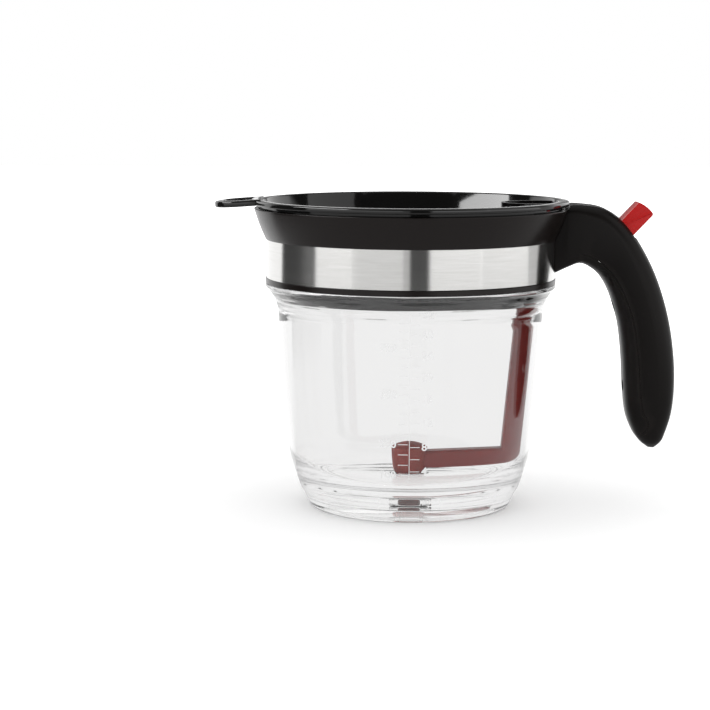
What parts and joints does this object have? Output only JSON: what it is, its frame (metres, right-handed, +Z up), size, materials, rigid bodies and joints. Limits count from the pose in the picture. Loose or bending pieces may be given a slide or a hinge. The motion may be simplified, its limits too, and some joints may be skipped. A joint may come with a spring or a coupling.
{
  "type": "gravy fat separator",
  "caption": "Clear gravy fat separator jug with a lift-off strainer, a side handle, and a thumb lever that lifts the stopper in its floor.",
  "frame": {"origin": "centre of the ring that the jug stands on", "axes": "+Z up along the jug's axis, +X from the axis towards the handle"},
  "size_m": [0.227, 0.155, 0.152],
  "materials": {
    "clear_plastic": "clear, polished",
    "black_plastic": "fine satin",
    "black_gloss": "polished",
    "red_plastic": "polished",
    "red_rubber": "smooth satin",
    "grey_rubber": "smooth",
    "brushed_band": "brushed round the band",
    "stainless_steel": "plain"
  },
  "bodies": {
    "jug": {"jar": "clear_plastic", "outlet_spout": "clear_plastic", "trim_ring": "black_plastic", "steel_band": "brushed_band", "neck_gasket": "grey_rubber", "collar": "black_plastic", "strainer_seal": "grey_rubber", "handle_body": "black_plastic", "handle_cover": "black_plastic", "handle_screws": "stainless_steel", "cover_screws": "stainless_steel", "lever_pin": "stainless_steel", "arm_guide": "black_plastic", "return_spring": "stainless_steel"},
    "lever": {"thumb_lever": "red_plastic"},
    "lift": {"lift_arm": "red_plastic", "lift_head": "red_plastic", "stopper": "red_rubber"},
    "lid": {"strainer": "black_gloss"}
  },
  "joints": [
    {"name": "lever_press", "type": "hinge", "parent": "jug", "child": "lever", "pos_m": [0.096, 0, 0.1345], "axis": [0, 1, 0], "range_deg": [0, 12]},
    {"name": "lift_slide", "type": "slide", "parent": "jug", "child": "lift", "axis": [0, 0, 1], "range_m": [0, 0.00806], "stiffness_N_per_m": 380, "springref_m": -0.005, "deforming": ["return_spring"]},
    {"name": "strainer_lift", "type": "slide", "parent": "jug", "child": "lid", "axis": [0, 0, 1], "range_m": [0, 0.09]}
  ],
  "couplings": [
    {"joint": "lever_press", "follows": "lift_slide", "rad_per_m": 25.975}
  ]
}
